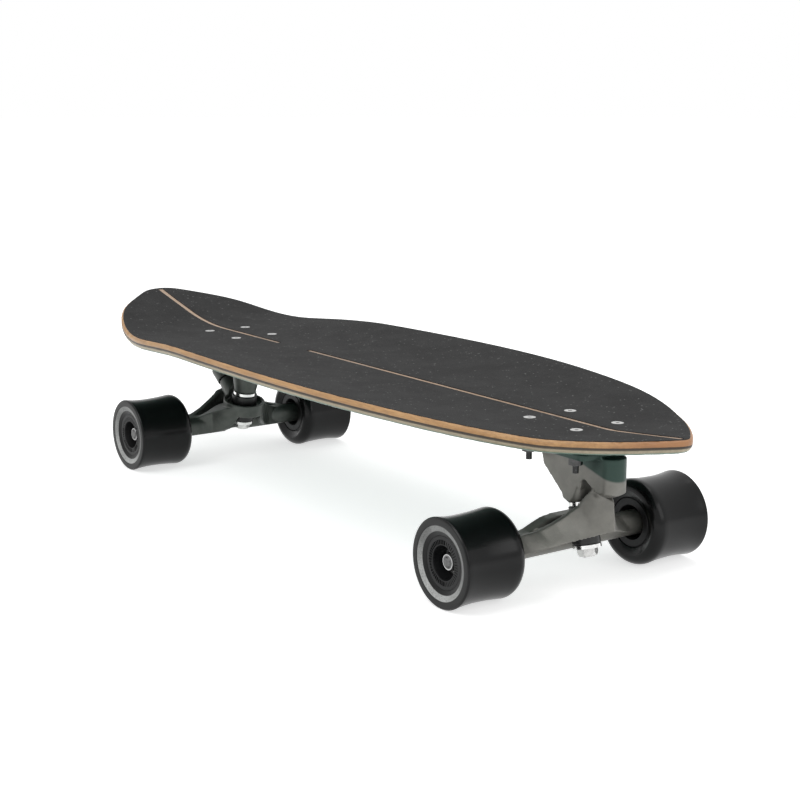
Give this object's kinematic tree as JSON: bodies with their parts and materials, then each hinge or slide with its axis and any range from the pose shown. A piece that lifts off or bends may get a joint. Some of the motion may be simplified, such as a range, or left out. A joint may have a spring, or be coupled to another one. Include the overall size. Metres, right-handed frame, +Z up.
{
  "type": "surf skateboard",
  "caption": "Long carving skateboard with a swept deck, two steering trucks that lean to turn, and wide soft wheels on ball bearings.",
  "frame": {"origin": "centre of the floor area under the board, on the floor that the wheels stand on", "axes": "+X to the nose of the board, +Y to its left side, +Z up"},
  "size_m": [0.81, 0.255, 0.1545],
  "materials": {
    "grip": "coarse grit sheet, speckled dark grey, matte",
    "maple": "warm tan ply edge, satin",
    "dark_wood": "dark brown ply edge, satin",
    "pale_wood": "pale cream ply edge, satin",
    "teal_veneer": "stained teal green veneer, satin",
    "wheel_tyre": "gloss black polyurethane",
    "wheel_core": "black glossy moulded core",
    "bushing": "dark cast urethane",
    "pivot_cup": "black moulded plastic",
    "riser": "black rubber pad",
    "hanger_metal": "cast grey alloy, satin",
    "base_metal": "cast grey alloy, satin",
    "dark_steel": "black oxide steel",
    "zinc_steel": "zinc plated steel",
    "axle_steel": "bright steel",
    "bearing_steel": "ground bearing steel",
    "shield": "dark pressed shield",
    "ball_steel": "polished balls in a steel cage"
  },
  "bodies": {
    "deck": {"deck_bottom_veneer": "teal_veneer", "deck_dark_ply": "dark_wood", "deck_lower_plies": "pale_wood", "deck_top_plies": "maple", "front_base": "base_metal", "front_kingpin": "zinc_steel", "front_kingpin_nut": "zinc_steel", "front_lower_bushing": "bushing", "front_lower_washer": "zinc_steel", "front_pivot_cup": "pivot_cup", "front_riser_pad": "riser", "front_truck_bolts": "dark_steel", "front_truck_nuts": "dark_steel", "front_upper_bushing": "bushing", "front_upper_washer": "zinc_steel", "grip_tape": "grip", "rear_base": "base_metal", "rear_kingpin": "zinc_steel", "rear_kingpin_nut": "zinc_steel", "rear_lower_bushing": "bushing", "rear_lower_washer": "zinc_steel", "rear_pivot_cup": "pivot_cup", "rear_riser_pad": "riser", "rear_truck_bolts": "dark_steel", "rear_truck_nuts": "dark_steel", "rear_upper_bushing": "bushing", "rear_upper_washer": "zinc_steel"},
    "front_hanger": {"front_hanger": "hanger_metal", "front_axle": "axle_steel", "front_axle_nuts": "axle_steel", "front_speed_washers": "axle_steel", "front_bearing_inner_rings": "bearing_steel", "front_bearing_spacers": "bearing_steel"},
    "front_left_wheel": {"front_left_tyre": "wheel_tyre", "front_left_core": "wheel_core", "front_left_bearing_outer_rings": "bearing_steel", "front_left_bearing_shields": "shield"},
    "front_left_balls": {"front_left_ball_sets": "ball_steel"},
    "front_right_wheel": {"front_right_tyre": "wheel_tyre", "front_right_core": "wheel_core", "front_right_bearing_outer_rings": "bearing_steel", "front_right_bearing_shields": "shield"},
    "front_right_balls": {"front_right_ball_sets": "ball_steel"},
    "rear_hanger": {"rear_hanger": "hanger_metal", "rear_axle": "axle_steel", "rear_axle_nuts": "axle_steel", "rear_speed_washers": "axle_steel", "rear_bearing_inner_rings": "bearing_steel", "rear_bearing_spacers": "bearing_steel"},
    "rear_left_wheel": {"rear_left_tyre": "wheel_tyre", "rear_left_core": "wheel_core", "rear_left_bearing_outer_rings": "bearing_steel", "rear_left_bearing_shields": "shield"},
    "rear_left_balls": {"rear_left_ball_sets": "ball_steel"},
    "rear_right_wheel": {"rear_right_tyre": "wheel_tyre", "rear_right_core": "wheel_core", "rear_right_bearing_outer_rings": "bearing_steel", "rear_right_bearing_shields": "shield"},
    "rear_right_balls": {"rear_right_ball_sets": "ball_steel"}
  },
  "joints": [
    {"name": "front_steer", "type": "hinge", "parent": "deck", "child": "front_hanger", "pos_m": [0.29915, 0, 0.04771], "axis": [0.5075, 0, 0.8616], "range_deg": [-20, 20], "stiffness_Nm_per_rad": 30, "deforming": ["front_upper_bushing", "front_lower_bushing"]},
    {"name": "rear_steer", "type": "hinge", "parent": "deck", "child": "rear_hanger", "pos_m": [-0.22058, 0, 0.05209], "axis": [-0.8192, 0, 0.5736], "range_deg": [-16, 16], "stiffness_Nm_per_rad": 30, "deforming": ["rear_upper_bushing", "rear_lower_bushing"]},
    {"name": "front_left_spin", "type": "hinge", "parent": "front_hanger", "child": "front_left_wheel", "pos_m": [0.2775, 0.09365, 0.035], "axis": [0, 1, 0], "continuous": true},
    {"name": "front_left_balls_spin", "type": "hinge", "parent": "front_hanger", "child": "front_left_balls", "pos_m": [0.2775, 0.0955, 0.035], "axis": [0, 1, 0], "continuous": true},
    {"name": "front_right_spin", "type": "hinge", "parent": "front_hanger", "child": "front_right_wheel", "pos_m": [0.2775, -0.09365, 0.035], "axis": [0, 1, 0], "continuous": true},
    {"name": "front_right_balls_spin", "type": "hinge", "parent": "front_hanger", "child": "front_right_balls", "pos_m": [0.2775, -0.0955, 0.035], "axis": [0, 1, 0], "continuous": true},
    {"name": "rear_left_spin", "type": "hinge", "parent": "rear_hanger", "child": "rear_left_wheel", "pos_m": [-0.2395, 0.09365, 0.035], "axis": [0, 1, 0], "continuous": true},
    {"name": "rear_left_balls_spin", "type": "hinge", "parent": "rear_hanger", "child": "rear_left_balls", "pos_m": [-0.2395, 0.0955, 0.035], "axis": [0, 1, 0], "continuous": true},
    {"name": "rear_right_spin", "type": "hinge", "parent": "rear_hanger", "child": "rear_right_wheel", "pos_m": [-0.2395, -0.09365, 0.035], "axis": [0, 1, 0], "continuous": true},
    {"name": "rear_right_balls_spin", "type": "hinge", "parent": "rear_hanger", "child": "rear_right_balls", "pos_m": [-0.2395, -0.0955, 0.035], "axis": [0, 1, 0], "continuous": true}
  ],
  "couplings": [
    {"joint": "front_left_balls_spin", "follows": "front_left_spin", "ratio": 0.6277},
    {"joint": "front_right_balls_spin", "follows": "front_right_spin", "ratio": 0.6277},
    {"joint": "rear_left_balls_spin", "follows": "rear_left_spin", "ratio": 0.6277},
    {"joint": "rear_right_balls_spin", "follows": "rear_right_spin", "ratio": 0.6277}
  ]
}
